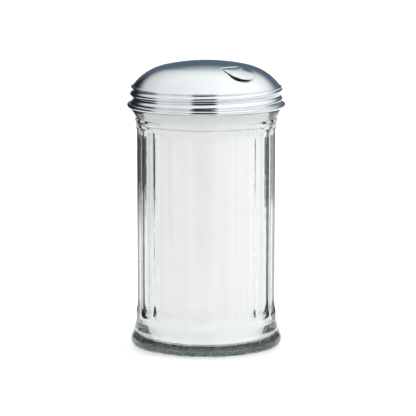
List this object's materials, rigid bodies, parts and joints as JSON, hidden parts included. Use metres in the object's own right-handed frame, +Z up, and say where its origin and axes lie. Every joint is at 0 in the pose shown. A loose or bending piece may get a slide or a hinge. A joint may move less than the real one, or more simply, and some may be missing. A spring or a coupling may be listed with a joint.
{
  "type": "sugar dispenser with flap",
  "caption": "Table sugar dispenser: a panelled clear glass jar with a domed steel screw lid whose round-ended flap swings open over the pour opening.",
  "frame": {"origin": "centre of the jar's foot, on the surface it stands on", "axes": "+Z up along the jar's axis, +X towards the pouring side, where the flap's free end points, +Y along the flap's hinge pin"},
  "size_m": [0.077, 0.077, 0.1404],
  "materials": {
    "clear_glass": "polished pressed glass",
    "bright_steel": "satin bright",
    "wire_steel": "drawn wire",
    "white_liner": "soft foam plastic"
  },
  "bodies": {
    "jar": {"glass_jar": "clear_glass"},
    "liner": {"lid_liner": "white_liner"},
    "lid": {"lid_shell": "bright_steel", "hinge_pin": "wire_steel"},
    "flap": {"flap": "bright_steel"}
  },
  "joints": [
    {"name": "lid_lift", "type": "slide", "parent": "jar", "child": "liner", "axis": [0, 0, 1], "range_m": [0, 0.00551]},
    {"name": "lid_turn", "type": "hinge", "parent": "liner", "child": "lid", "pos_m": [0, 0, 0.1186], "axis": [0, 0, 1], "range_deg": [0, 450]},
    {"name": "flap_hinge", "type": "hinge", "parent": "lid", "child": "flap", "pos_m": [0.0188, 0, 0.13648], "axis": [0, -1, 0], "range_deg": [0, 75]}
  ],
  "couplings": [
    {"joint": "lid_lift", "follows": "lid_turn", "m_per_rad": 0.00070028}
  ]
}
